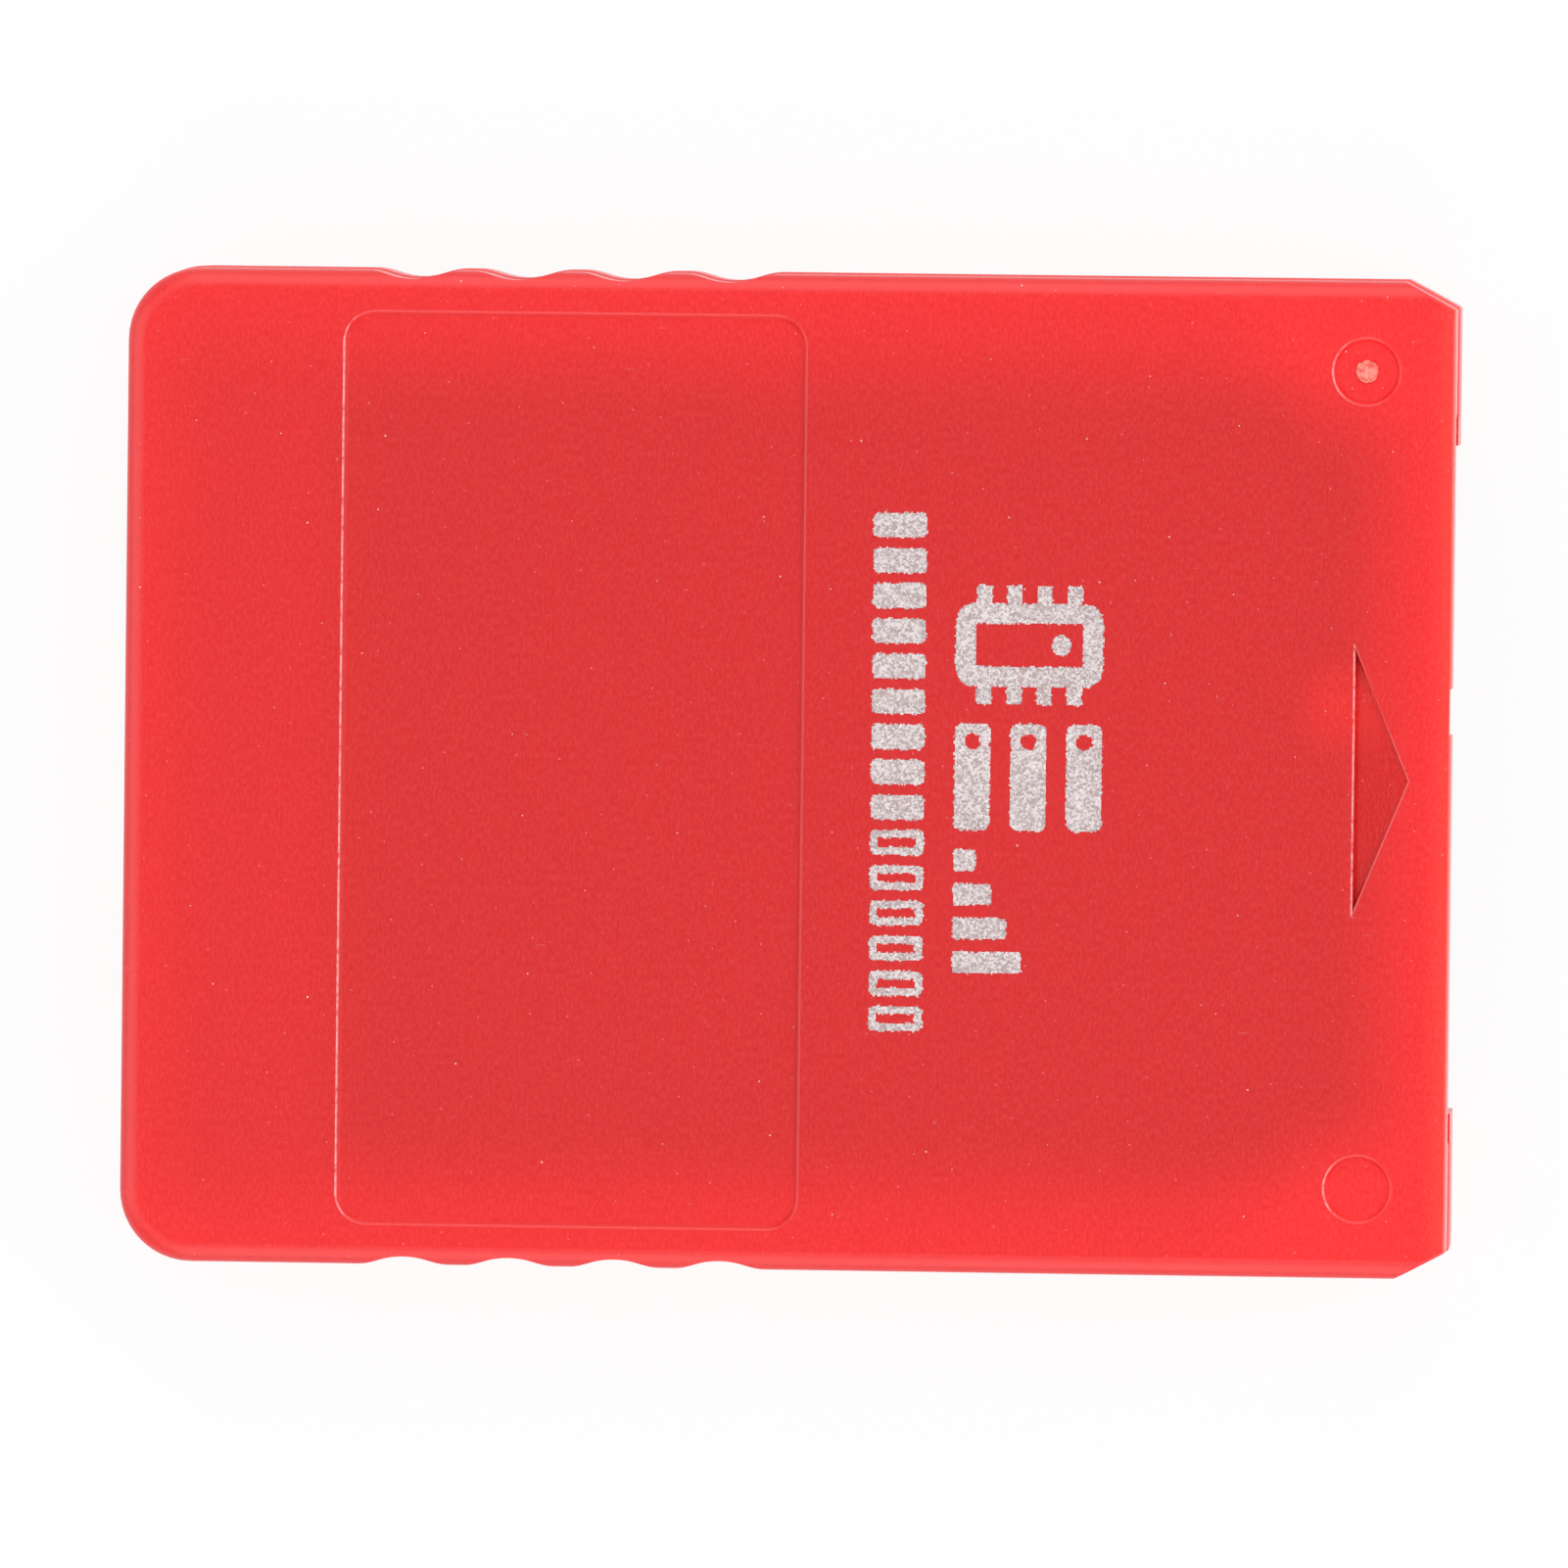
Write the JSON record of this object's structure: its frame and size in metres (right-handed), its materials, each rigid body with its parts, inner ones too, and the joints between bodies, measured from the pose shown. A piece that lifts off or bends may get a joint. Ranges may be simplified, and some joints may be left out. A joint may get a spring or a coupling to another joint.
{
  "type": "memory card",
  "caption": "Flat plug-in memory card for a game console: two frosted red plastic shells around a circuit board, with an open contact mouth at the nose and wavy finger grips.",
  "frame": {"origin": "on the back of the card, under the middle of its box", "axes": "+X towards the end that goes into the console, +Z out of the face with the label recess, +Y to the side with the key slot"},
  "size_m": [0.056, 0.042, 0.0078],
  "materials": {
    "shell_plastic": "frosted, slightly see-through red moulding",
    "board_laminate": "green varnished glass-fibre laminate",
    "contact_gold": "thin gold plating",
    "chip_resin": "black moulding resin",
    "lead_tin": "tinned",
    "crystal_can": "plain metal can",
    "capacitor_ceramic": "fired ceramic with tinned ends",
    "resistor_ceramic": "black overglaze with tinned ends"
  },
  "bodies": {
    "root": {"front_shell": "shell_plastic", "rear_shell": "shell_plastic", "circuit_board": "board_laminate", "memory_chip": "chip_resin", "memory_chip_leads": "lead_tin", "controller_chip": "chip_resin", "controller_chip_leads": "lead_tin", "voltage_regulator": "chip_resin", "regulator_leads": "lead_tin", "clock_crystal": "crystal_can", "contact_1": "contact_gold", "contact_2": "contact_gold", "contact_3": "contact_gold", "contact_4": "contact_gold", "contact_5": "contact_gold", "contact_6": "contact_gold", "contact_7": "contact_gold", "contact_8": "contact_gold", "capacitor_1": "capacitor_ceramic", "capacitor_2": "capacitor_ceramic", "capacitor_3": "capacitor_ceramic", "capacitor_4": "capacitor_ceramic", "resistor_1": "resistor_ceramic", "resistor_2": "resistor_ceramic", "resistor_3": "resistor_ceramic", "resistor_4": "resistor_ceramic"}
  },
  "joints": []
}
